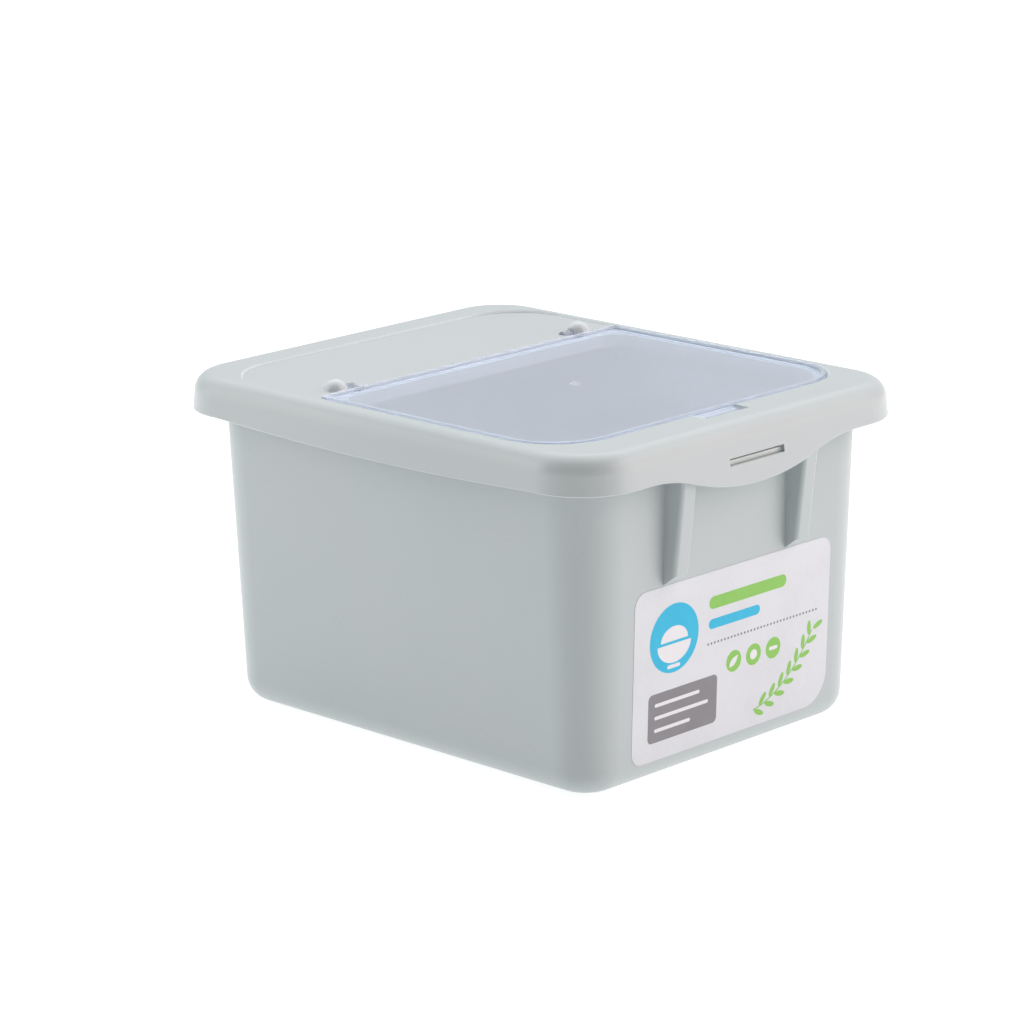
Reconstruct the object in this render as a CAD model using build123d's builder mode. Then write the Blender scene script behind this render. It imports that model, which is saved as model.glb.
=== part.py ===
from build123d import *
import os
from math import cos, hypot, radians, sin, tan

# Rice storage box: a tapered tub, a lift-off lid with a deep skirt, a clear flap hinged in the lid
# and a paper label. Lengths are millimetres and angles degrees. The box stands on z = 0 with the
# middle of its base at the origin, and its front faces -Y.

# Every cut runs past the faces it cuts by this much
overrun = 6.0

# Tub: one moulding with leaning walls, round corners and a thin wall
tub_base_width = 216.5
tub_base_depth = 274.0
tub_base_corner = 22.3
tub_base_round = 14.0
tub_height = 183.1
tub_draft_angle = 2.25
tub_wall = 2.2
tub_floor = 2.6

# Rim of the tub: a flange turned down into a lip, hidden behind the lid's skirt
rim_thickness = 2.2
rim_bevel = 2.0
rim_height = 11.0
rim_skirt_gap = 2.2

# Front of the tub: two gusset ribs under the rim and a catch on a tongue between them
rib_spacing = 96.6
rib_width = 11.4
rib_wall = 2.0
rib_low = 107.5
rib_toe_rise = 6.0
rib_toe_reach = 8.0
rib_knee_drop = 19.1
rib_skirt_gap = 1.4
rib_edge_round = 2.4
catch_skirt_gap = 0.35
catch_side_gap = 0.7
catch_bottom_gap = 0.2
catch_height = 3.2
catch_lip = 2.2
tongue_drop = 1.2

# Lid: skirt, rounded shoulder and raised ring
lid_overhang = 15.1
lid_corner = 35.0
lid_wall = 2.2
skirt_height = 20.4
skirt_draft_angle = 6.0
skirt_dip = 3.1
dip_turn_share = 0.9
skirt_edge_bevel = 0.6
shoulder_radius = 10.5
ceiling_bevel = 5.5
lobe_inset = 15.0
lobe_drop = 13.2
lobe_turn_share = 0.625
slot_width = 43.0
slot_height = 4.0
slot_below_crest = 19.5

# Recess in the lid: rear panel, flap pocket with its ledge, and the opening with its turned-down collar
ring_flat_side = 1.2
ring_flat_front = 19.7
ring_flat_back = 15.5
ring_edge_share = 0.88
recess_depth = 1.2
recess_corner = 36.0
panel_thickness = 2.4
panel_edge_round = 0.9
ledge_thickness = 2.0
ledge_width = 8.0
opening_back_corner = 14.0
collar_depth = 4.9
collar_wall = 2.0
seat_rib_width = 2.4
scoop_side_gap = 0.8
scoop_below_tab = 2.0
scoop_ahead = 4.2

# Flap: a clear plate with a raised border, a finger tab, two hinge arms and their pins
flap_thickness = 2.4
flap_seat_gap = 0.3
flap_gap = 0.7
flap_back_corner = 3.0
flap_edge_bevel = 0.5
border_width = 3.2
border_rise = 1.6
tab_width = 32.0
tab_reach = 7.5
tab_corner = 4.0
gate_radius = 2.0
gate_height = 0.4
gate_ahead = 88.0

# Hinge: a ball boss on each side of the rear panel, bored for a pin on the flap's arm
hinge_from_back = 72.2
hinge_inset = 21.9
boss_radius = 6.8
boss_drop = 4.6
boss_flat = 5.5
arm_width = 7.4
arm_gap = 0.4
arm_eye_radius = 2.9
arm_reach = 8.8
pin_radius = 2.0
pin_clearance = 0.07
pin_length = 6.4
pin_end_gap = 0.6

# Label: thin paper on the front wall
label_width = 156.3
label_height = 95.0
label_low = 11.9
label_aside = 2.6
label_corner = 8.0
label_wide_corner = 18.0
label_thickness = 0.2

# Heights, stacked up from the tub's rim to the crest of the lid's ring
ledge_top = tub_height + ledge_thickness
flap_low = ledge_top + flap_seat_gap
flap_top = flap_low + flap_thickness
crest = flap_top + recess_depth
ceiling = crest - lid_wall
skirt_low = crest - skirt_height
lobe_low = skirt_low - lobe_drop
slot_low = crest - slot_below_crest - slot_height / 2
collar_low = tub_height - collar_depth
lip_low = tub_height - rim_height
rib_knee_height = tub_height - rib_knee_drop


def tub_spread(height):
    """How far the tub's wall leans out at a height above the base."""
    return height * tan(radians(tub_draft_angle))


def skirt_spread(height):
    """How far the lid's skirt stands out at a height, against its size at the corners' lower edge."""
    return (skirt_low - height) * tan(radians(skirt_draft_angle))


# Half sizes in plan
sides = (-1, 1)
right_angle = 90.0
tub_half_width = tub_base_width / 2
tub_half_depth = tub_base_depth / 2
lid_half_width = tub_half_width + tub_spread(skirt_low) + lid_overhang
lid_half_depth = tub_half_depth + tub_spread(skirt_low) + lid_overhang
rim_inset = lid_wall + rim_skirt_gap - skirt_spread(crest - shoulder_radius)
rim_half_width = lid_half_width - rim_inset
rim_half_depth = lid_half_depth - rim_inset
crest_inset = shoulder_radius * tan(radians(right_angle - skirt_draft_angle) / 2) - skirt_spread(crest)
recess_half_width = lid_half_width - crest_inset - ring_flat_side
recess_front = crest_inset + ring_flat_front - lid_half_depth
recess_back = lid_half_depth - crest_inset - ring_flat_back
hinge_y = recess_back - hinge_from_back
hinge_z = flap_low + flap_thickness / 2
flap_back = hinge_y - arm_reach
pocket_back = flap_back + flap_gap
opening_half_width = recess_half_width - ledge_width
opening_front = recess_front + ledge_width
opening_back = pocket_back - ledge_width
boss_x = recess_half_width - hinge_inset
arm_outer = boss_x - boss_flat - arm_gap
arm_inner = arm_outer - arm_width
side_run = lid_half_depth - lid_corner
front_run = lid_half_width - lid_corner


def plan(half_width, front, back, front_corner, back_corner):
    """Plan outline between a front and a back line, with one corner radius at each end."""
    with BuildSketch(mode=Mode.PRIVATE) as outline:
        with Locations((0, (front + back) / 2)):
            Rectangle(2 * half_width, back - front)
        fillet(outline.vertices().group_by(Axis.Y)[0], front_corner)
        fillet(outline.vertices().group_by(Axis.Y)[-1], back_corner)
    return outline.sketch


def pocket_plan(inset, back):
    """Plan of the flap's pocket: the recess, drawn smaller by an inset and ended at a back line."""
    with BuildSketch(mode=Mode.PRIVATE) as outline:
        corner = recess_corner - inset
        add(plan(recess_half_width - inset, recess_front + inset, recess_back, corner, corner))
        with Locations((0, back)):
            Rectangle(2 * lid_half_width, recess_back, align=(Align.CENTER, Align.MIN), mode=Mode.SUBTRACT)
    return outline.sketch


def edge_below(half_run, half_lobe, drop, turn_share):
    """Area below a skirt edge that drops between two corners, in a lobe of three tangent arcs."""
    far = half_run + lid_corner + overrun
    low = lobe_low - 2 * overrun
    turn = half_lobe * turn_share
    turn_height = skirt_low - drop + drop * turn_share
    with BuildSketch(mode=Mode.PRIVATE) as area:
        with BuildLine():
            ThreePointArc((-turn, turn_height), (0, skirt_low - drop), (turn, turn_height))
            TangentArc((half_lobe, skirt_low), (turn, turn_height), tangent=(-1, 0))
            TangentArc((-half_lobe, skirt_low), (-turn, turn_height), tangent=(1, 0))
            Polyline((half_lobe, skirt_low), (far, skirt_low), (far, low),
                     (-far, low), (-far, skirt_low), (-half_lobe, skirt_low))
        make_face()
    return area.sketch


def on_skirt_edge(edge):
    """Whether an edge of the lid runs along the outside of the skirt's lower edge."""
    middle = edge.center()
    beyond_x = max(abs(middle.X) - lid_half_width + lid_corner, 0)
    beyond_y = max(abs(middle.Y) - lid_half_depth + lid_corner, 0)
    off_surface = hypot(beyond_x, beyond_y) - lid_corner - skirt_spread(middle.Z)
    return abs(off_surface) < lid_wall / 2 and middle.Z < skirt_low + lid_wall / 2


# Tub body: the outer form of the bin, round at the base edge
with BuildPart() as tub_body:
    with BuildSketch():
        RectangleRounded(tub_base_width, tub_base_depth, tub_base_corner)
    extrude(amount=tub_height, taper=-tub_draft_angle)
    fillet(tub_body.faces().sort_by(Axis.Z)[0].edges(), tub_base_round)

# Tub hollow: the same form, one wall smaller
hollow_inset = tub_wall / cos(radians(tub_draft_angle)) - tub_spread(tub_floor)
with BuildPart() as tub_hollow:
    with BuildSketch(Plane.XY.offset(tub_floor)):
        RectangleRounded(tub_base_width - 2 * hollow_inset, tub_base_depth - 2 * hollow_inset,
                         tub_base_corner - hollow_inset)
    extrude(amount=tub_height - tub_floor + overrun, taper=-tub_draft_angle)
    fillet(tub_hollow.faces().sort_by(Axis.Z)[0].edges(), tub_base_round - tub_wall)

# Gusset rib: a tapered bulge of the front wall from a sloping toe up to the rim
rib_toe = rib_low + rib_toe_rise
rib_root = tub_half_depth + tub_spread(rib_low)
rib_front = rib_root + rib_toe_reach
rib_knee = lid_half_depth + skirt_spread(rib_knee_height) - lid_wall - rib_skirt_gap
rim_middle = rim_half_depth - rim_thickness / 2
rim_inner = tub_half_depth + tub_spread(tub_height) - tub_wall / 2
rib_top = tub_height - rim_thickness / 2
with BuildPart() as rib:
    with BuildSketch(Plane.YZ):
        with BuildLine():
            Polyline((tub_wall / 2 - rib_root, rib_low), (-rib_root, rib_low), (-rib_front, rib_toe),
                     (-rib_knee, rib_knee_height), (-rim_middle, lip_low), (-rim_middle, rib_top),
                     (-rim_inner, rib_top), close=True)
        make_face()
    extrude(amount=rib_width / 2, both=True)
    front_edges = rib.edges().filter_by_position(Axis.Z, rib_low, rib_knee_height)
    front_edges = front_edges.filter_by(Axis.X, reverse=True)
    fillet(front_edges.sort_by(Axis.Y)[:2], rib_edge_round)

# Rib hollow: the inside of the bulge, one wall smaller, open to the tub and at the top
toe_slope = rib_toe_rise / rib_toe_reach
toe_inside = rib_low + rib_wall * hypot(toe_slope, 1)
hollow_back = rib_root - overrun
with BuildPart() as rib_hollow:
    with BuildSketch(Plane.YZ):
        with BuildLine():
            Polyline((-hollow_back, toe_inside - overrun * toe_slope),
                     (rib_wall - rib_front, toe_inside + (rib_toe_reach - rib_wall) * toe_slope),
                     (rib_wall - rib_knee, rib_knee_height), (rib_wall - rim_middle, lip_low),
                     (rib_wall - rim_middle, tub_height + overrun), (-hollow_back, tub_height + overrun),
                     close=True)
        make_face()
    extrude(amount=rib_width / 2 - rib_wall, both=True)

# Tub: body, rim, ribs and catch in one piece
tub_top_corner = tub_base_corner + tub_spread(tub_height)
rim_corner = tub_top_corner + rim_half_width - tub_half_width - tub_spread(tub_height)
catch_front = lid_half_depth + skirt_spread(slot_low) - lid_wall - catch_skirt_gap
catch_low = slot_low + catch_bottom_gap
with BuildPart() as tub:
    with BuildSketch(Plane.XY.offset(lip_low)):
        RectangleRounded(2 * rim_half_width, 2 * rim_half_depth, rim_corner)
    extrude(amount=rim_height)
    chamfer(tub.faces().sort_by(Axis.Z)[-1].edges(), rim_bevel)
    with BuildSketch(Plane.XY.offset(lip_low)):
        RectangleRounded(2 * (rim_half_width - rim_thickness), 2 * (rim_half_depth - rim_thickness),
                         rim_corner - rim_thickness)
    extrude(amount=rim_height - rim_thickness, mode=Mode.SUBTRACT)
    add(tub_body.part)
    for side in sides:
        with Locations((side * rib_spacing / 2, 0, 0)):
            add(rib.part)
    with BuildSketch(Plane.YZ):
        with BuildLine():
            Polyline((rim_thickness - rim_half_depth, lip_low + rim_thickness),
                     (-rim_half_depth, lip_low + rim_thickness), (-rim_half_depth, catch_low + catch_height),
                     (-catch_front, catch_low + catch_lip), (-catch_front, catch_low),
                     (-rim_half_depth, catch_low), (-rim_half_depth, catch_low - tongue_drop),
                     (rim_thickness - rim_half_depth, catch_low - tongue_drop), close=True)
        make_face()
    extrude(amount=slot_width / 2 - catch_side_gap, both=True)
    add(tub_hollow.part, mode=Mode.SUBTRACT)
    for side in sides:
        with Locations((side * rib_spacing / 2, 0, 0)):
            add(rib_hollow.part, mode=Mode.SUBTRACT)

# Lid hollow: the space inside the skirt, up to the ceiling under the ring
skirt_start = lobe_low - overrun
flare = skirt_spread(skirt_start)
with BuildPart() as lid_hollow:
    with BuildSketch(Plane.XY.offset(skirt_start)):
        RectangleRounded(2 * (lid_half_width + flare - lid_wall), 2 * (lid_half_depth + flare - lid_wall),
                         lid_corner + flare - lid_wall)
    extrude(amount=ceiling - skirt_start, taper=skirt_draft_angle)
    chamfer(lid_hollow.faces().sort_by(Axis.Z)[-1].edges(), ceiling_bevel)

# Lid: skirt and ring, rear panel, ledge and collar, hinge bosses, latch slot and finger scoop
scoop_width = tab_width + 2 * scoop_side_gap
scoop_depth = crest - flap_low + scoop_below_tab
scoop_reach = tab_reach - flap_gap + scoop_ahead
scoop_radius = (scoop_reach ** 2 + scoop_depth ** 2) / (2 * scoop_depth)
scoop_z = crest - scoop_depth + scoop_radius
with BuildPart() as lid:
    with BuildSketch(Plane.XY.offset(skirt_start)):
        RectangleRounded(2 * (lid_half_width + flare), 2 * (lid_half_depth + flare), lid_corner + flare)
    extrude(amount=crest - skirt_start, taper=skirt_draft_angle)
    fillet(lid.faces().sort_by(Axis.Z)[-1].edges(), shoulder_radius)
    add(lid_hollow.part, mode=Mode.SUBTRACT)

    # Lower edge of the skirt: a shallow dip on the sides and the back, a deep lobe at the front
    for side in sides:
        with BuildSketch(Plane.YZ.offset(side * (lid_half_width - lid_corner))):
            add(edge_below(side_run, side_run, skirt_dip, dip_turn_share))
        extrude(amount=side * (lid_corner + flare + overrun), mode=Mode.SUBTRACT)
    with BuildSketch(Plane.XZ.offset(lid_corner - lid_half_depth)):
        add(edge_below(front_run, front_run, skirt_dip, dip_turn_share))
    extrude(amount=-lid_corner - flare - overrun, mode=Mode.SUBTRACT)
    with BuildSketch(Plane.XZ.offset(lid_half_depth - lid_corner)):
        add(edge_below(front_run, front_run - lobe_inset, lobe_drop, lobe_turn_share))
    extrude(amount=lid_corner + flare + overrun, mode=Mode.SUBTRACT)

    chamfer(lid.edges().filter_by(on_skirt_edge), skirt_edge_bevel)

    # Slabs under the recess: the rear panel, the deeper pocket floor, and the rib that sits on the rim
    with BuildSketch(Plane.XY.offset(flap_top - panel_thickness)):
        add(plan(recess_half_width + collar_wall, recess_front - collar_wall, recess_back + collar_wall,
                 recess_corner + collar_wall, recess_corner + collar_wall))
    extrude(amount=panel_thickness)
    with BuildSketch(Plane.XY.offset(tub_height)):
        add(pocket_plan(-collar_wall, pocket_back + collar_wall))
    extrude(amount=flap_top - tub_height)
    with BuildSketch(Plane.XY.offset(tub_height)):
        RectangleRounded(2 * (tub_half_width + tub_spread(tub_height)),
                         2 * (tub_half_depth + tub_spread(tub_height)), tub_top_corner)
        offset(amount=-seat_rib_width, mode=Mode.SUBTRACT)
    extrude(amount=flap_top - tub_height)

    # Pan under the finger scoop
    with BuildSketch(Plane.YZ):
        with Locations((recess_front, scoop_z)):
            Circle(scoop_radius + collar_wall)
        with Locations((recess_front, ceiling + collar_wall / 2)):
            Rectangle(2 * scoop_radius, 2 * scoop_radius, align=(Align.MAX, Align.MAX), mode=Mode.INTERSECT)
    extrude(amount=scoop_width / 2 + collar_wall, both=True)

    # Pans under the notches for the flap's arms
    notch_width = arm_width + 2 * arm_gap
    notch_back = hinge_y + arm_eye_radius + arm_gap
    notch_low = hinge_z - arm_eye_radius - arm_gap
    with BuildSketch(Plane.XY.offset(notch_low - ledge_thickness)):
        pan_middle = arm_outer - arm_width / 2
        with Locations((-pan_middle, pocket_back), (pan_middle, pocket_back)):
            Rectangle(notch_width + 2 * collar_wall, notch_back - pocket_back + collar_wall,
                      align=(Align.CENTER, Align.MIN))
    extrude(amount=hinge_z - notch_low + ledge_thickness)

    # Recess, its edge, and the pocket for the flap
    with BuildSketch(Plane.XY.offset(flap_top)):
        add(plan(recess_half_width, recess_front, recess_back, recess_corner, recess_corner))
    extrude(amount=recess_depth + overrun, mode=Mode.SUBTRACT)
    chamfer(lid.faces().sort_by(Axis.Z)[-1].inner_wires()[0].edges(), recess_depth * ring_edge_share)
    with BuildSketch(Plane.XY.offset(ledge_top)):
        add(pocket_plan(0, pocket_back))
    extrude(amount=crest - ledge_top + overrun, mode=Mode.SUBTRACT)

    # Hinge bosses and the notches for the flap's arms
    with Locations((-boss_x, hinge_y, hinge_z), (boss_x, hinge_y, hinge_z)):
        Sphere(boss_radius, arc_size1=0, align=(Align.CENTER, Align.CENTER, Align.MIN))
        Cylinder(boss_radius, boss_drop, align=(Align.CENTER, Align.CENTER, Align.MAX))
    with BuildSketch(Plane.XY.offset(notch_low)):
        with Locations((arm_gap + arm_outer, pocket_back), (arm_gap + arm_width - arm_outer, pocket_back)):
            Rectangle(notch_width, notch_back - pocket_back, align=(Align.MAX, Align.MIN))
    extrude(amount=hinge_z - notch_low + boss_radius + overrun, mode=Mode.SUBTRACT)
    panel_edges = lid.edges().filter_by(Axis.X)
    panel_edges = panel_edges.filter_by_position(Axis.Y, pocket_back - flap_gap, pocket_back + flap_gap)
    panel_edges = panel_edges.filter_by_position(Axis.Z, flap_top - recess_depth, flap_top + recess_depth)
    fillet(panel_edges, panel_edge_round)
    for side in sides:
        with BuildSketch(Plane.YZ.offset(side * (arm_outer + arm_gap))):
            with Locations((hinge_y, hinge_z)):
                Circle(pin_radius + pin_clearance)
        extrude(amount=side * (pin_length - arm_gap + pin_end_gap), mode=Mode.SUBTRACT)

    # Collar round the opening, then the opening itself
    with BuildSketch(Plane.XY.offset(collar_low)):
        add(plan(opening_half_width + collar_wall, opening_front - collar_wall, opening_back + collar_wall,
                 recess_corner - ledge_width + collar_wall, opening_back_corner + collar_wall))
    extrude(amount=ledge_top - collar_low)
    with BuildSketch(Plane.XY.offset(collar_low - overrun)):
        add(plan(opening_half_width, opening_front, opening_back,
                 recess_corner - ledge_width, opening_back_corner))
    extrude(amount=crest - collar_low + overrun, mode=Mode.SUBTRACT)

    # Finger scoop in front of the flap, and the latch slot through the front skirt
    with BuildSketch(Plane.YZ):
        with Locations((recess_front, scoop_z)):
            Circle(scoop_radius)
    extrude(amount=scoop_width / 2, both=True, mode=Mode.SUBTRACT)
    with BuildSketch(Plane.XZ.offset(lid_half_depth - lid_corner)):
        with Locations((0, slot_low)):
            Rectangle(slot_width, slot_height, align=(Align.CENTER, Align.MIN))
    extrude(amount=lid_corner + overrun, mode=Mode.SUBTRACT)

# Flap: plate, finger tab, raised border, hinge arms with pins, and the mark of its moulding gate
with BuildPart() as flap:
    with BuildSketch(Plane.XY.offset(flap_low)) as flap_plan:
        add(pocket_plan(flap_gap, flap_back))
        fillet(flap_plan.vertices().group_by(Axis.Y)[-1], flap_back_corner)
        with Locations((0, recess_front + flap_gap - tab_reach)):
            Rectangle(tab_width, tab_reach + overrun, align=(Align.CENTER, Align.MIN))
        fillet(flap_plan.vertices().group_by(Axis.Y)[0], tab_corner)
    extrude(amount=flap_thickness)
    chamfer(flap.faces().sort_by(Axis.Z)[-1].edges(), flap_edge_bevel)
    with BuildSketch(Plane.XY.offset(flap_top)) as border_plan:
        add(pocket_plan(flap_gap + flap_edge_bevel, flap_back - flap_edge_bevel))
        fillet(border_plan.vertices().group_by(Axis.Y)[-1], flap_back_corner - flap_edge_bevel)
        border_inset = flap_edge_bevel + border_width
        add(pocket_plan(flap_gap + border_inset, flap_back - border_inset), mode=Mode.SUBTRACT)
    extrude(amount=border_rise)
    chamfer(flap.faces().sort_by(Axis.Z)[-1].edges(), flap_edge_bevel)
    for side in sides:
        with BuildSketch(Plane.YZ.offset(side * arm_inner)):
            with Locations((flap_back - arm_reach, hinge_z)):
                Rectangle(2 * arm_reach, flap_thickness, align=(Align.MIN, Align.CENTER))
            with Locations((hinge_y, hinge_z)):
                Circle(arm_eye_radius)
        extrude(amount=side * arm_width)
        with BuildSketch(Plane.YZ.offset(side * arm_outer)):
            with Locations((hinge_y, hinge_z)):
                Circle(pin_radius)
        extrude(amount=side * pin_length)
    with BuildSketch(Plane.XY.offset(flap_top)):
        with Locations((0, hinge_y - gate_ahead)):
            Circle(gate_radius)
    extrude(amount=gate_height)

# Label: a thin sheet lying on the leaning front wall
wall_lean = radians(tub_draft_angle)
wall_normal = (0, -cos(wall_lean), -sin(wall_lean))
front_wall = Plane(origin=(0, -tub_half_depth, 0), x_dir=(1, 0, 0), z_dir=wall_normal)
with BuildPart() as label:
    with BuildSketch(front_wall) as sheet:
        with Locations((label_aside, label_low)):
            Rectangle(label_width, label_height, align=(Align.CENTER, Align.MIN))
        fillet(sheet.vertices().group_by(Axis.X)[0], label_corner)
        fillet(sheet.vertices().sort_by(Axis.X)[-2:].sort_by(Axis.Y)[-1], label_corner)
        fillet(sheet.vertices().sort_by(Axis.Y)[:2].sort_by(Axis.X)[-1], label_wide_corner)
    extrude(amount=label_thickness)

tub.part.label = "tub"
lid.part.label = "lid"
flap.part.label = "flap"
label.part.label = "label"
os.makedirs("parts", exist_ok=True)
export_step(tub.part, "parts/tub.step")
export_step(lid.part, "parts/lid.step")
export_step(flap.part, "parts/flap.step")
export_step(label.part, "parts/label.step")
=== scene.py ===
import bmesh
import bpy
from math import cos, pi, radians, sin
from mathutils import Matrix, Vector


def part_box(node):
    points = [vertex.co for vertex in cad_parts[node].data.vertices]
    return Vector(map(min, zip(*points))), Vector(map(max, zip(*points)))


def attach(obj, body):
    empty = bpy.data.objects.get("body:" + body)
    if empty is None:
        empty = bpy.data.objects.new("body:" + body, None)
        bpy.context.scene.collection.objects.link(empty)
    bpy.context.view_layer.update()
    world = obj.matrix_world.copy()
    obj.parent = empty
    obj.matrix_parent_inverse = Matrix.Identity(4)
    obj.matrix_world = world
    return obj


# Rice storage box: looks of the pale moulded tub and lid, the clear flap and the printed paper label.
# Lengths are metres where nothing else is said, in the frame of the solid model. The front faces -Y.

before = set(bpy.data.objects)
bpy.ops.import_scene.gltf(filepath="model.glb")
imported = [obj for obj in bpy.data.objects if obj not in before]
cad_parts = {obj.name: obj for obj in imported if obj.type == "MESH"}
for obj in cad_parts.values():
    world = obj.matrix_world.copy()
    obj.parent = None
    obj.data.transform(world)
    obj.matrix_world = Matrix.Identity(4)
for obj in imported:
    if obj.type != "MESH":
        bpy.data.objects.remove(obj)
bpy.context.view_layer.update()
scene = bpy.context.scene


# Node helpers

def put(tree, kind, inputs=None, **settings):
    """Adds a node, sets its properties, and fills its inputs with values or with other nodes' sockets."""
    made = tree.nodes.new(kind)
    for name, value in settings.items():
        setattr(made, name, value)
    for name, value in (inputs or {}).items():
        if isinstance(value, bpy.types.NodeSocket):
            tree.links.new(value, made.inputs[name])
        else:
            made.inputs[name].default_value = value
    return made


def number(tree, operation, *values):
    """The result of a math node."""
    return put(tree, "ShaderNodeMath", dict(enumerate(values)), operation=operation).outputs[0]


def vector(tree, operation, *values):
    """The result of a vector math node: a number for a length or a dot product, or else a vector."""
    made = put(tree, "ShaderNodeVectorMath", dict(enumerate(values)), operation=operation)
    return made.outputs["Value" if operation in ("LENGTH", "DOT_PRODUCT") else "Vector"]


def new_material(name):
    """An empty node material: its tree, its output node and its object coordinates."""
    material = bpy.data.materials.new(name)
    material.use_nodes = True
    tree = material.node_tree
    tree.nodes.clear()
    output = put(tree, "ShaderNodeOutputMaterial")
    place = put(tree, "ShaderNodeTexCoord").outputs["Object"]
    return material, tree, output, place


def noise(tree, place, scale, detail=2.0, roughness=0.5, stretch=None):
    """Fractal noise on a place in the object, stretched along the axes where that is asked."""
    if stretch is not None:
        place = put(tree, "ShaderNodeMapping", {"Vector": place, "Scale": stretch}).outputs["Vector"]
    made = put(tree, "ShaderNodeTexNoise", {"Vector": place, "Scale": scale, "Detail": detail,
                                            "Roughness": roughness})
    return made.outputs["Fac"]


def between(tree, value, low, high, start=0.3, end=0.7):
    """A value's range from start to end, spread softly from low to high."""
    made = put(tree, "ShaderNodeMapRange", {"Value": value, "From Min": start, "From Max": end,
                                            "To Min": low, "To Max": high}, interpolation_type="SMOOTHSTEP")
    return made.outputs["Result"]


def blend_colour(tree, share, first, second):
    """Mix of two colours by a share; the numbers are the colour sockets of the Mix node."""
    return put(tree, "ShaderNodeMix", {0: share, 6: first, 7: second}, data_type="RGBA").outputs[2]


def bump(tree, height, distance, strength=1.0, under=None):
    """Relief of a height map, on top of another relief where one is given."""
    inputs = {"Height": height, "Distance": distance, "Strength": strength}
    if under is not None:
        inputs["Normal"] = under
    return put(tree, "ShaderNodeBump", inputs).outputs["Normal"]


def principled(tree, colour, roughness, relief, ior, transmission=0.0):
    """One Principled surface."""
    inputs = {"Base Color": colour, "Roughness": roughness, "Normal": relief, "IOR": ior,
              "Transmission Weight": transmission}
    return put(tree, "ShaderNodeBsdfPrincipled", inputs).outputs["BSDF"]


def darker(colour, share):
    """A colour times a share."""
    return [share * value for value in colour[:3]] + [1.0]


# Places with painted light, painted paler, and the flap's frosted gate mark: the middle of a spot and its
# reach along the axes

sides = (-1, 1)
catch_spots = [((0.0, -0.1563, 0.169), (0.03, 0.004, 0.003))]
boss_spots = [((side * 0.09528, 0.059426, 0.1866), (0.0074, 0.0074, 0.0074)) for side in sides]
scoop_end_spots = [((side * 0.0171, -0.1335, 0.1866), (0.0009, 0.009, 0.0028)) for side in sides]
gate_spots = [((0.0, -0.028574, 0.1883), (0.003, 0.003, 0.003))]

# The lid's recess in plan, whose edge band is painted paler as painted light; the last number of its straight
# runs is so large that height doesn't count
recess_middle = (0.0, 0.0021, 0.0)
recess_half_runs = (0.0812, 0.0935, 1.0)
recess_corner = 0.036
recess_edge_width = 0.00106


def spot_share(tree, place, spots):
    """1 inside the spots, 0 outside them and soft between."""
    share = 0.0
    for middle, reach in spots:
        scaled = vector(tree, "DIVIDE", vector(tree, "SUBTRACT", place, middle), reach)
        far = vector(tree, "LENGTH", scaled)
        near = between(tree, far, low=1.0, high=0.0, start=0.85, end=1.1)
        share = number(tree, "MAXIMUM", share, near)
    return share


def edge_share(tree, place, middle, half_runs, corner, width, inner_soft=0.0001, outer_soft=0.0002):
    """1 on a band round a rounded rectangle in plan, 0 elsewhere and soft between."""
    folded = vector(tree, "ABSOLUTE", vector(tree, "SUBTRACT", place, middle))
    past_runs = vector(tree, "MAXIMUM", vector(tree, "SUBTRACT", folded, half_runs), (0, 0, 0))
    far = vector(tree, "LENGTH", past_runs)
    outer = corner + width
    rise = between(tree, far, low=0.0, high=1.0, start=corner - outer_soft, end=corner + inner_soft)
    fall = between(tree, far, low=1.0, high=0.0, start=outer - inner_soft, end=outer + outer_soft)
    return number(tree, "MULTIPLY", rise, fall)


def tub_painted_light(tree, place):
    """Where the tub gets painted light: the face of its catch, painted paler than its plastic."""
    return spot_share(tree, place, catch_spots)


def lid_painted_light(tree, place):
    """Where the lid gets painted light: the hinge bosses, the ends of the finger scoop, the recess edge, all
    painted paler.
    """
    spots = spot_share(tree, place, boss_spots + scoop_end_spots)
    edge = edge_share(tree, place, recess_middle, recess_half_runs, recess_corner, recess_edge_width)
    return number(tree, "MAXIMUM", spots, edge)


# Finishes

def moulded_plastic(name, pale, deep, painted_light_tone, painted_light_places, gloss, dull, wave):
    """Pale moulded plastic: cloudy pigment, faint specks, places painted paler as painted light, a slow wave,
    a satin grain.
    """
    material, tree, output, place = new_material(name)
    cloud = between(tree, noise(tree, place, scale=7.0, detail=4.0), low=0.0, high=1.0)
    pigment = blend_colour(tree, cloud, pale, deep)
    speck_noise = noise(tree, place, scale=620.0, detail=1.0)
    specks = between(tree, speck_noise, low=0.0, high=0.3, start=0.64, end=0.76)
    colour = blend_colour(tree, specks, pigment, darker(deep, share=0.88))
    # Painted light: the catch face, hinge bosses, scoop ends and recess edge are painted paler
    colour = blend_colour(tree, painted_light_places(tree, place), colour, painted_light_tone)
    roughness = between(tree, noise(tree, place, scale=16.0), low=gloss, high=dull, start=0.2, end=0.8)
    relief = bump(tree, noise(tree, place, scale=9.0, detail=1.0), distance=wave)
    grain = noise(tree, place, scale=1400.0, detail=1.0)
    relief = bump(tree, grain, distance=0.000004, strength=0.5, under=relief)
    surface = principled(tree, colour, roughness, relief, ior=1.49)
    tree.links.new(surface, output.inputs["Surface"])
    return material


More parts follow.
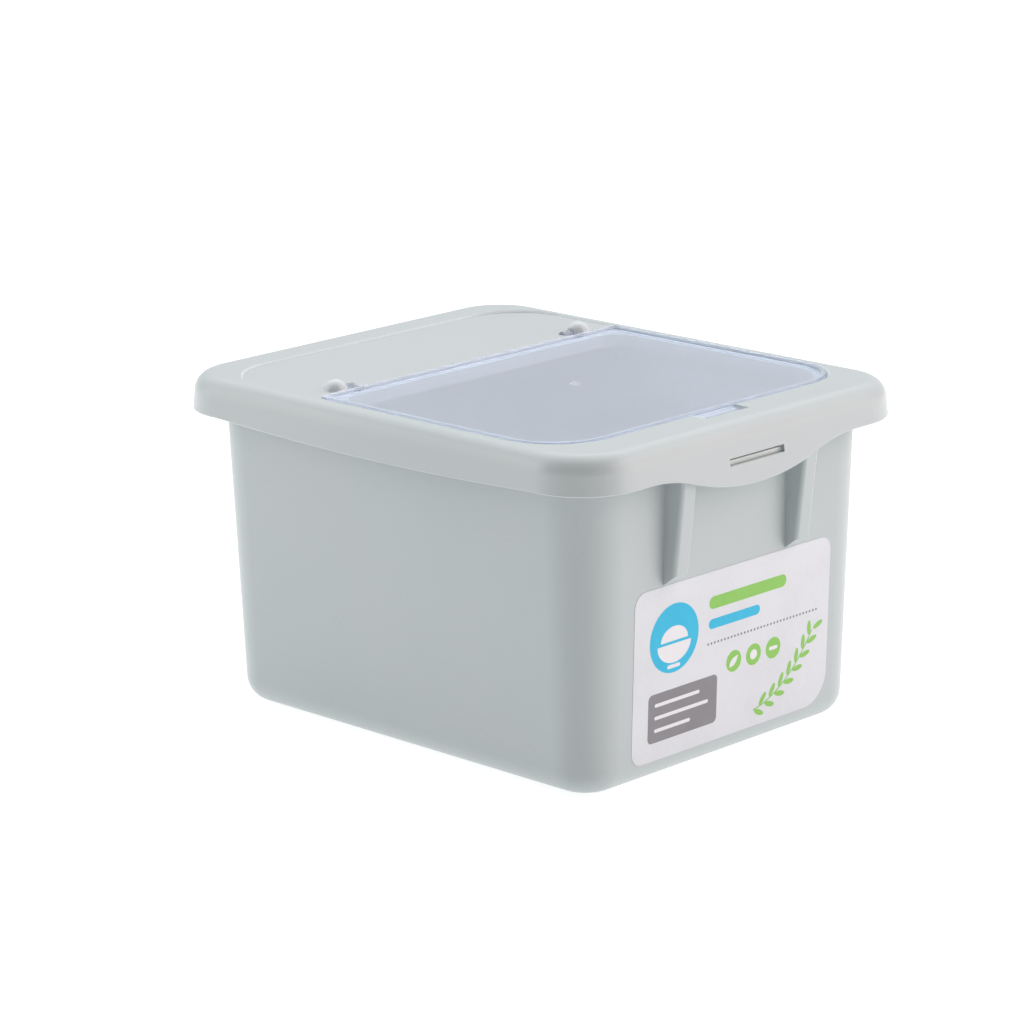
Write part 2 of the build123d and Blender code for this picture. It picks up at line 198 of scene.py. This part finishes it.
def clear_plastic(name, tint, frosted, frosted_spots, passing_tint):
    """Clear moulded plastic: blue haze, hairline rubs, frosted spots, a slow wave; lamps shine through it."""
    material, tree, output, place = new_material(name)
    cloud = between(tree, noise(tree, place, scale=12.0, detail=3.0), low=0.0, high=1.0)
    haze = blend_colour(tree, cloud, tint, darker(tint, share=0.97))
    frost = spot_share(tree, place, frosted_spots)
    colour = blend_colour(tree, frost, haze, frosted)
    hairlines = noise(tree, place, scale=240.0, detail=3.0, roughness=0.6, stretch=(1.0, 0.03, 1.0))
    rubs = between(tree, hairlines, low=0.025, high=0.055, start=0.35, end=0.75)
    frost_roughness = 0.55
    roughness = number(tree, "MULTIPLY_ADD", frost, frost_roughness, rubs)
    relief = bump(tree, noise(tree, place, scale=14.0, detail=1.0), distance=0.00012)
    surface = principled(tree, colour, roughness, relief, ior=1.49, transmission=0.8)
    passing = put(tree, "ShaderNodeBsdfTransparent", {"Color": passing_tint}).outputs["BSDF"]
    lamp_ray = put(tree, "ShaderNodeLightPath").outputs["Is Shadow Ray"]
    both = put(tree, "ShaderNodeMixShader", {0: lamp_ray, 1: surface, 2: passing})
    tree.links.new(both.outputs["Shader"], output.inputs["Surface"])
    return material


def coated_paper(name, pale, deep):
    """Coated label paper: a smooth face with a trace of fibre."""
    material, tree, output, place = new_material(name)
    fibre = noise(tree, place, scale=900.0, detail=4.0, roughness=0.65, stretch=(1.0, 1.0, 0.35))
    cloud = noise(tree, place, scale=40.0, detail=3.0)
    mottle = number(tree, "MULTIPLY", fibre, cloud)
    colour = blend_colour(tree, between(tree, mottle, low=0.0, high=1.0, start=0.12, end=0.42), pale, deep)
    roughness = between(tree, cloud, low=0.36, high=0.48)
    relief = bump(tree, fibre, distance=0.00001, strength=0.7)
    surface = principled(tree, colour, roughness, relief, ior=1.48)
    tree.links.new(surface, output.inputs["Surface"])
    return material


def printed_ink(name, full, thin):
    """Ink on the label: a fine screen of full and thin ink, glossier than the paper."""
    material, tree, output, place = new_material(name)
    screen = put(tree, "ShaderNodeTexVoronoi", {"Vector": place, "Scale": 2600.0}).outputs["Distance"]
    cloud = noise(tree, place, scale=70.0, detail=3.0)
    lay = number(tree, "MULTIPLY", screen, cloud)
    colour = blend_colour(tree, between(tree, lay, low=0.0, high=0.5, start=0.1, end=0.5), full, thin)
    roughness = between(tree, cloud, low=0.28, high=0.4)
    relief = bump(tree, screen, distance=0.000006, strength=0.5)
    surface = principled(tree, colour, roughness, relief, ior=1.5)
    tree.links.new(surface, output.inputs["Surface"])
    return material


# The paler tones below are painted light for the catch face, hinge bosses, scoop ends and recess edge
tub_plastic = moulded_plastic("tub plastic", pale=(0.465, 0.515, 0.52, 1), deep=(0.45, 0.505, 0.51, 1),
                              painted_light_tone=(0.66, 0.72, 0.69, 1), painted_light_places=tub_painted_light,
                              gloss=0.3, dull=0.36, wave=0.0007)
lid_plastic = moulded_plastic("lid plastic", pale=(0.49, 0.535, 0.54, 1), deep=(0.475, 0.525, 0.53, 1),
                              painted_light_tone=(0.66, 0.715, 0.725, 1), painted_light_places=lid_painted_light,
                              gloss=0.285, dull=0.33, wave=0.0003)
flap_plastic = clear_plastic("flap plastic", tint=(0.79, 0.85, 0.94, 1), frosted=(0.98, 0.99, 1.0, 1),
                             frosted_spots=gate_spots, passing_tint=(0.93, 0.95, 0.98, 1))
label_paper = coated_paper("label paper", pale=(0.66, 0.685, 0.715, 1), deep=(0.625, 0.65, 0.68, 1))
ink_blue = printed_ink("label ink blue", full=(0.0, 0.42, 0.66, 1), thin=(0.03, 0.5, 0.72, 1))
ink_green = printed_ink("label ink green", full=(0.21, 0.5, 0.07, 1), thin=(0.28, 0.56, 0.12, 1))
ink_grey = printed_ink("label ink grey", full=(0.2, 0.195, 0.21, 1), thin=(0.26, 0.255, 0.27, 1))
ink_white = printed_ink("label ink white", full=(0.74, 0.74, 0.76, 1), thin=(0.7, 0.7, 0.72, 1))

for node, material in (("tub", tub_plastic), ("lid", lid_plastic),
                       ("flap", flap_plastic), ("label", label_paper)):
    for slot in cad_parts[node].material_slots:
        slot.material = material


# Label print: shapes drawn on the label's face, u to the right and v up from its lower left corner

mm = 0.001
wall_lean = radians(2.25)
label_low, label_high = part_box("label")
label_up = Vector((0, -sin(wall_lean), cos(wall_lean)))
label_out = Vector((0, -cos(wall_lean), -sin(wall_lean)))
label_height = (label_high.z - label_low.z) / cos(wall_lean)
label_corner = Vector((label_low.x, label_low.y, label_high.z)) - label_height * label_up
on_label = Matrix((Vector((1, 0, 0)), label_up, label_out)).transposed().to_4x4()
on_label.translation = label_corner
ink_sink = 0.02 * mm
ink_layer = 0.035 * mm


def round_outline(middle_u, middle_v, radius_u, radius_v, start=0.0, end=2 * pi, steps=48):
    """Points of an ellipse or of a part of it, in millimetres."""
    turns = [start + (end - start) * step / steps for step in range(steps + (end - start < 2 * pi))]
    return [(middle_u + radius_u * cos(turn), middle_v + radius_v * sin(turn)) for turn in turns]


def bar_outline(left, low, right, high, corner, corner_steps=8):
    """Points of a bar with round corners, in millimetres."""
    middles = ((right - corner, high - corner), (left + corner, high - corner),
               (left + corner, low + corner), (right - corner, low + corner))
    points = []
    for quarter, (middle_u, middle_v) in enumerate(middles):
        start = quarter * pi / 2
        points += round_outline(middle_u, middle_v, corner, corner, start, start + pi / 2, corner_steps)
    return points


def leaf_outline(foot_u, foot_v, tip_u, tip_v, belly, steps=16, belly_shift=0.8):
    """Points of a leaf from its foot to its tip, in millimetres; belly is its half width."""
    along = Vector((tip_u - foot_u, tip_v - foot_v))
    across = Vector((-along.y, along.x)).normalized() * belly
    points = []
    for side in (1, -1):
        for step in range(steps):
            share = step / steps if side > 0 else 1 - step / steps
            spot = Vector((foot_u, foot_v)) + along * share + across * side * sin(pi * share ** belly_shift)
            points.append((spot.x, spot.y))
    return points


def stem_outline(foot, bend, tip, half_width, steps=24):
    """Points round a thin bent stem, in millimetres."""
    left, right = [], []
    for step in range(steps + 1):
        share = step / steps
        here = (Vector(foot) * (1 - share) ** 2 + Vector(bend) * 2 * share * (1 - share)
                + Vector(tip) * share ** 2)
        along = ((Vector(bend) - Vector(foot)) * (1 - share)
                 + (Vector(tip) - Vector(bend)) * share).normalized()
        across = Vector((-along.y, along.x)) * half_width
        left.append(tuple(here + across))
        right.append(tuple(here - across))
    return left + right[::-1]


def place_print(name, mesh):
    """Sets a printed shape, made in the label's u and v, onto the label's face."""
    mesh.transform(on_label)
    piece = bpy.data.objects.new(name, mesh)
    scene.collection.objects.link(piece)
    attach(piece, "tub_body")


def print_shapes(name, ink, outlines, layers=1):
    """One piece of ink on the label: a thin slab for each outline."""
    mesh = bpy.data.meshes.new(name)
    work = bmesh.new()
    for outline in outlines:
        low = [work.verts.new((u * mm, v * mm, -ink_sink)) for u, v in outline]
        high = [work.verts.new((u * mm, v * mm, layers * ink_layer)) for u, v in outline]
        work.faces.new(high)
        work.faces.new(low[::-1])
        for index in range(len(outline)):
            after = (index + 1) % len(outline)
            work.faces.new((low[index], low[after], high[after], high[index]))
    bmesh.ops.recalc_face_normals(work, faces=work.faces)
    work.to_mesh(mesh)
    work.free()
    mesh.materials.append(ink)
    place_print(name, mesh)


# Rows of printed grains, made by Geometry Nodes

stem_steps = 32
grain_corners = 18
grain_off_stem = 0.64
weld_distance = 0.000002


def grain_row_tree():
    """Nodes that print grains along a bent stem, to its left and right in turn."""
    tree = bpy.data.node_groups.new("grains along a stem", "GeometryNodeTree")
    for name, kind in (("Foot", "Vector"), ("Bend", "Vector"), ("Tip", "Vector"), ("Count", "Int"),
                       ("Grain length", "Float"), ("Grain width", "Float"), ("Spread", "Float"),
                       ("Ink height", "Float"), ("Ink", "Material")):
        tree.interface.new_socket(name, in_out="INPUT", socket_type="NodeSocket" + kind)
    tree.interface.new_socket("Print", in_out="OUTPUT", socket_type="NodeSocketGeometry")
    given = put(tree, "NodeGroupInput").outputs
    stem = put(tree, "GeometryNodeCurveQuadraticBezier", {"Start": given["Foot"], "Middle": given["Bend"],
                                                          "End": given["Tip"], "Resolution": stem_steps})
    spots = put(tree, "GeometryNodeCurveToPoints", {"Curve": stem.outputs["Curve"], "Count": given["Count"]},
                mode="COUNT")

    # Each grain points along the stem and leans off it, by turns to the right and to the left
    index = put(tree, "GeometryNodeInputIndex").outputs["Index"]
    turn = number(tree, "MODULO", index, 2.0)
    side = between(tree, turn, low=-1.0, high=1.0, start=0.0, end=1.0)
    lean = number(tree, "MULTIPLY", side, given["Spread"])
    lean = put(tree, "ShaderNodeCombineXYZ", {"Z": lean}).outputs["Vector"]
    lean = put(tree, "FunctionNodeEulerToRotation", {"Euler": lean}).outputs["Rotation"]
    along = put(tree, "FunctionNodeAlignRotationToVector", {"Vector": spots.outputs["Tangent"]}, axis="X")
    aim = put(tree, "FunctionNodeRotateRotation", {"Rotation": along.outputs["Rotation"], "Rotate By": lean})

    # One flat grain, set off the stem, and its copies
    disc = put(tree, "GeometryNodeMeshCircle", {"Vertices": grain_corners, "Radius": 0.5}, fill_type="NGON")
    reach = number(tree, "MULTIPLY", given["Grain length"], grain_off_stem)
    shift = put(tree, "ShaderNodeCombineXYZ", {"X": reach, "Z": -ink_sink}).outputs["Vector"]
    size = put(tree, "ShaderNodeCombineXYZ", {"X": given["Grain length"], "Y": given["Grain width"],
                                              "Z": 1.0}).outputs["Vector"]
    grain = put(tree, "GeometryNodeTransform", {"Geometry": disc.outputs["Mesh"], "Translation": shift,
                                                "Scale": size})
    row = put(tree, "GeometryNodeInstanceOnPoints", {"Points": spots.outputs["Points"],
                                                     "Instance": grain.outputs["Geometry"],
                                                     "Rotation": aim.outputs["Rotation"]})
    flat = put(tree, "GeometryNodeRealizeInstances", {"Geometry": row.outputs["Instances"]})
    flat = flat.outputs["Geometry"]

    # The flat grains become closed slabs of ink
    upper = put(tree, "GeometryNodeExtrudeMesh", {"Mesh": flat, "Offset Scale": given["Ink height"]})
    under = put(tree, "GeometryNodeFlipFaces", {"Mesh": flat})
    both = put(tree, "GeometryNodeJoinGeometry", {"Geometry": upper.outputs["Mesh"]})
    tree.links.new(under.outputs["Mesh"], both.inputs["Geometry"])
    closed = put(tree, "GeometryNodeMergeByDistance", {"Geometry": both.outputs["Geometry"],
                                                       "Distance": weld_distance})
    inked = put(tree, "GeometryNodeSetMaterial", {"Geometry": closed.outputs["Geometry"],
                                                  "Material": given["Ink"]})
    put(tree, "NodeGroupOutput", {"Print": inked.outputs["Geometry"]})
    return tree


grain_rows = grain_row_tree()


def print_grains(name, ink, foot, bend, tip, count, length, width, spread):
    """One row of printed grains; places and sizes in millimetres, spread in radians."""
    carrier = bpy.data.objects.new(name + " carrier", bpy.data.meshes.new(name + " carrier"))
    scene.collection.objects.link(carrier)
    nodes = carrier.modifiers.new("grains", "NODES")
    nodes.node_group = grain_rows
    values = {"Foot": (foot[0] * mm, foot[1] * mm, 0.0), "Bend": (bend[0] * mm, bend[1] * mm, 0.0),
              "Tip": (tip[0] * mm, tip[1] * mm, 0.0), "Count": count, "Grain length": length * mm,
              "Grain width": width * mm, "Spread": spread, "Ink height": ink_sink + ink_layer, "Ink": ink}
    for socket in grain_rows.interface.items_tree:
        if socket.in_out == "INPUT":
            nodes[socket.identifier] = values[socket.name]
    bpy.context.view_layer.update()
    evaluated = carrier.evaluated_get(bpy.context.evaluated_depsgraph_get())
    mesh = bpy.data.meshes.new_from_object(evaluated)
    carrier.modifiers.remove(nodes)
    bpy.data.objects.remove(carrier)
    place_print(name, mesh)


# Layout of the label in millimetres; white is printed over a colour, in a second layer

over_print = 2
line_corner = 0.9
disc_u = 31.0
title_left = 58.0
dots_v = 55.0
panel_line_left = 17.0
spot_v, spot_radius = 41.0, 6.0
spot_us = (79.0, 95.0, 111.0)
ear = {"foot": (96.0, 9.0), "bend": (124.0, 14.0), "tip": (143.0, 44.0)}

print_shapes("label_disc", ink_blue, [round_outline(disc_u, 65.0, radius_u=19.0, radius_v=19.0)])
print_shapes("label_bowl", ink_white,
             [round_outline(disc_u, 62.0, radius_u=13.0, radius_v=10.5, start=pi, end=2 * pi),
              bar_outline(left=26.0, low=48.6, right=36.0, high=50.6, corner=line_corner),
              round_outline(disc_u, 63.6, radius_u=10.5, radius_v=8.0, start=0.0, end=pi)], over_print)
print_shapes("label_title", ink_green,
             [bar_outline(left=title_left, low=74.0, right=120.0, high=81.0, corner=3.4)])
print_shapes("label_subtitle", ink_blue,
             [bar_outline(left=title_left, low=63.0, right=99.0, high=68.5, corner=2.7)])
print_grains("label_dots", ink_grey, foot=(57.0, dots_v), bend=(101.0, dots_v), tip=(145.0, dots_v),
             count=34, length=1.4, width=1.4, spread=0.0)
print_shapes("label_panel", ink_grey, [bar_outline(left=12.0, low=10.0, right=66.0, high=37.0, corner=3.0)])
print_shapes("label_panel_lines", ink_white,
             [bar_outline(panel_line_left, low=29.5, right=52.0, high=31.5, corner=line_corner),
              bar_outline(panel_line_left, low=22.5, right=59.0, high=24.5, corner=line_corner),
              bar_outline(panel_line_left, low=15.5, right=45.0, high=17.5, corner=line_corner)], over_print)
print_shapes("label_spots", ink_green,
             [round_outline(spot_u, spot_v, spot_radius, spot_radius) for spot_u in spot_us])
print_shapes("label_spot_signs", ink_white,
             [leaf_outline(foot_u=75.6, foot_v=38.2, tip_u=82.4, tip_v=43.8, belly=1.9),
              round_outline(spot_us[1], spot_v, radius_u=2.8, radius_v=2.8),
              bar_outline(left=107.6, low=40.0, right=114.4, high=42.0, corner=line_corner)], over_print)
print_shapes("label_ear_stem", ink_green, [stem_outline(half_width=0.4, **ear)])
print_grains("label_ear_grains", ink_green, count=15, length=8.2, width=3.1, spread=0.62, **ear)


# Camera, fitted to the photograph

camera_place = (-1.522097, -1.473534, 0.684908)
camera_heading = radians(-45.526)
camera_tilt = radians(90 - 15.164)
camera_roll = radians(-0.816)
camera_data = bpy.data.cameras.new("camera")
camera_data.sensor_width = 36.0
camera_data.lens = 140.126
camera = bpy.data.objects.new("camera", camera_data)
camera_turn = (Matrix.Rotation(camera_heading, 4, "Z") @ Matrix.Rotation(camera_tilt, 4, "X")
               @ Matrix.Rotation(camera_roll, 4, "Z"))
camera.matrix_world = Matrix.Translation(camera_place) @ camera_turn
scene.collection.objects.link(camera)
scene.camera = camera


# Floor: white, and just under the box

floor_half = 8.0
floor_level = -0.0002
floor_corners = [(-floor_half, -floor_half, floor_level), (floor_half, -floor_half, floor_level),
                 (floor_half, floor_half, floor_level), (-floor_half, floor_half, floor_level)]
floor_mesh = bpy.data.meshes.new("floor")
floor_mesh.from_pydata(floor_corners, [], [(0, 1, 2, 3)])
floor_paint, floor_tree, floor_output, floor_place = new_material("floor paint")
floor_tone = blend_colour(floor_tree, noise(floor_tree, floor_place, scale=1.5),
                          (0.4, 0.4, 0.4, 1), (0.42, 0.42, 0.42, 1))
floor_surface = put(floor_tree, "ShaderNodeBsdfPrincipled", {"Base Color": floor_tone, "Roughness": 0.9,
                                                             "Emission Color": (1, 1, 1, 1),
                                                             "Emission Strength": 0.78})
floor_tree.links.new(floor_surface.outputs["BSDF"], floor_output.inputs["Surface"])
floor_mesh.materials.append(floor_paint)
floor = bpy.data.objects.new("floor", floor_mesh)
scene.collection.objects.link(floor)


# Lamps

box_middle = Vector((0, 0, 0.09))


def softbox(name, place, side, watts, colour):
    """A large square soft lamp that faces the middle of the box."""
    data = bpy.data.lights.new(name, "AREA")
    data.size = side
    data.energy = watts
    data.color = colour
    lamp = bpy.data.objects.new(name, data)
    aim = box_middle - Vector(place)
    lamp.matrix_world = Matrix.Translation(place) @ aim.to_track_quat("-Z", "Y").to_matrix().to_4x4()
    scene.collection.objects.link(lamp)


softbox("softbox above", place=(-0.2, -0.2, 2.0), side=1.2, watts=2.5, colour=(1, 1, 1))
softbox("softbox left", place=(-1.05, 1.1, 0.65), side=1.0, watts=7.9, colour=(1, 0.96, 0.95))
softbox("softbox right", place=(1.5, -2.1, 1.1), side=2.5, watts=50.0, colour=(1, 0.85, 0.84))


# Room: a white wall behind the box, brightest above it, and dim in front

behind_box = (0.7, 0.714, 0.0)
room = bpy.data.worlds.new("room")
room.use_nodes = True
room_tree = room.node_tree
room_glow = room_tree.nodes["Background"]
direction = put(room_tree, "ShaderNodeTexCoord").outputs["Generated"]
behind = vector(room_tree, "DOT_PRODUCT", direction, behind_box)
height = put(room_tree, "ShaderNodeSeparateXYZ", {"Vector": direction}).outputs["Z"]
wall_glow = between(room_tree, behind, low=0.05, high=0.68, start=-0.2, end=0.7)
upper_side = between(room_tree, behind, low=0.0, high=1.0, start=-0.5, end=0.3)
upper_glow = between(room_tree, height, low=0.0, high=1.65, start=0.4, end=0.65)
glow = number(room_tree, "MULTIPLY_ADD", upper_side, upper_glow, wall_glow)
room_tree.links.new(glow, room_glow.inputs["Strength"])
room_glow.inputs["Color"].default_value = (0.97, 0.985, 1.0, 1)
scene.world = room
scene.view_settings.view_transform = "Standard"
